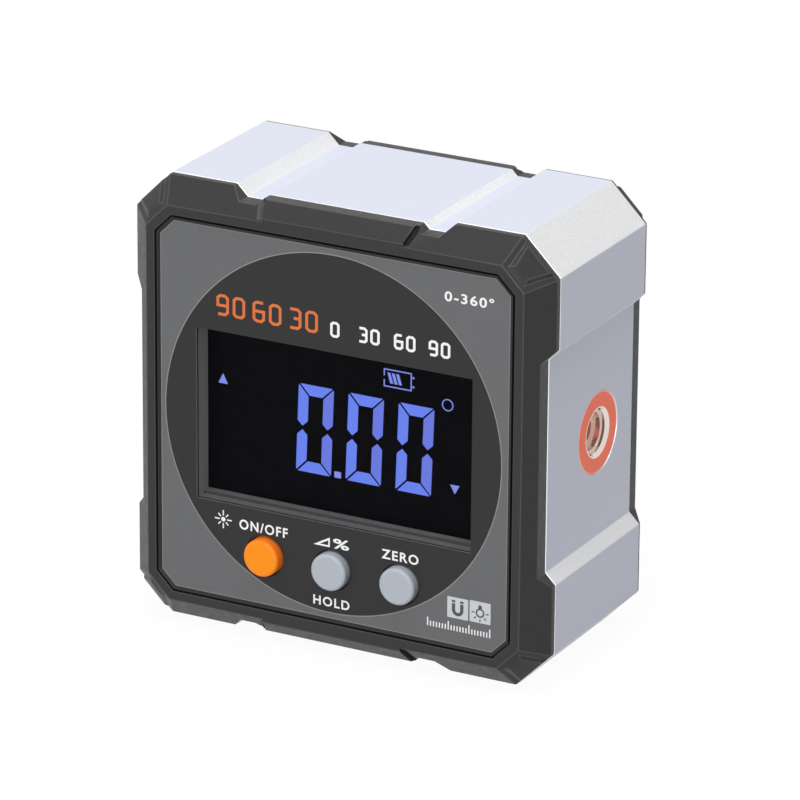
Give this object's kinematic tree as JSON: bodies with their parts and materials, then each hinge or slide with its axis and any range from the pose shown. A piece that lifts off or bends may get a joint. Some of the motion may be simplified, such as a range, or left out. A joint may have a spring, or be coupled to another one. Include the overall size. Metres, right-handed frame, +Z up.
{
  "type": "digital inclinometer",
  "caption": "Square digital angle gauge with an aluminium frame, magnetic measuring faces, an angle display, sprung buttons, laser ports in the sides and a hinged battery door.",
  "frame": {"origin": "on the base plane of the lower measuring faces, midway between the sides and midway between the fronts of the buttons and the rear face", "axes": "+X to the right as seen facing the display, +Y from the display towards the rear cover, +Z up; the gauge stands on its lower measuring faces"},
  "size_m": [0.07, 0.0374, 0.07],
  "materials": {
    "aluminium": "clear anodised, sandblasted on the slants",
    "bezel": "fine matte texture",
    "rear_cover": "fine matte texture",
    "door": "fine matte texture",
    "panel": "satin, with a printed dark disc",
    "window": "clear",
    "holder": "matte",
    "display": "smooth, black, with lit segments",
    "backlight": "white, diffusing",
    "soft_strip": "soft, striped",
    "orange_button": "satin",
    "grey_button": "satin",
    "plunger": "matte",
    "switch": "moulded",
    "board": "green solder mask with copper tracks",
    "chip": "moulded",
    "sensor": "metal lid",
    "component": "ceramic with tinned ends",
    "steel": "zinc plated",
    "black_screw": "black oxide",
    "magnet": "nickel plated",
    "cell": "printed jacket with bare metal ends",
    "contact": "nickel plated",
    "ring": "satin enamel",
    "bush": "turned and plated",
    "barrel": "turned",
    "lens": "coated",
    "diode": "gilt can",
    "clamp": "moulded",
    "lead": "insulated wire"
  },
  "bodies": {
    "case": {"aluminium_frame": "aluminium", "front_bezel": "bezel", "rear_cover": "rear_cover", "face_panel": "panel", "display_window": "window", "display_holder": "holder", "display_glass": "display", "backlight": "backlight", "contact_strips": "soft_strip", "switch_bodies": "switch", "circuit_board": "board", "processor_chip": "chip", "tilt_sensor": "sensor", "small_components": "component", "board_screws": "steel", "case_screws": "black_screw", "clamp_screws": "steel", "magnets": "magnet", "cell_left": "cell", "cell_right": "cell", "contact_upper_left": "contact", "contact_upper_right": "contact", "contact_lower": "contact", "port_ring_right": "ring", "port_ring_left": "ring", "port_bush_right": "bush", "port_bush_left": "bush", "laser_barrel_right": "barrel", "laser_barrel_left": "barrel", "laser_lens_right": "lens", "laser_lens_left": "lens", "laser_diode_right": "diode", "laser_diode_left": "diode", "laser_driver_right": "board", "laser_driver_left": "board", "laser_clamp_right": "clamp", "laser_clamp_left": "clamp", "laser_leads_right": "lead", "laser_leads_left": "lead"},
    "power_key": {"power_button": "orange_button", "power_plunger": "plunger"},
    "hold_key": {"hold_button": "grey_button", "hold_plunger": "plunger"},
    "zero_key": {"zero_button": "grey_button", "zero_plunger": "plunger"},
    "door": {"battery_door": "door"}
  },
  "joints": [
    {"name": "power_press", "type": "slide", "parent": "case", "child": "power_key", "axis": [0, 1, 0], "range_m": [0, 0.0005], "stiffness_N_per_m": 1500, "springref_m": -0.0004},
    {"name": "hold_press", "type": "slide", "parent": "case", "child": "hold_key", "axis": [0, 1, 0], "range_m": [0, 0.0005], "stiffness_N_per_m": 1500, "springref_m": -0.0004},
    {"name": "zero_press", "type": "slide", "parent": "case", "child": "zero_key", "axis": [0, 1, 0], "range_m": [0, 0.0005], "stiffness_N_per_m": 1500, "springref_m": -0.0004},
    {"name": "door_hinge", "type": "hinge", "parent": "case", "child": "door", "pos_m": [0, 0.01872, 0.0076], "axis": [-1, 0, 0], "range_deg": [0, 75]}
  ]
}
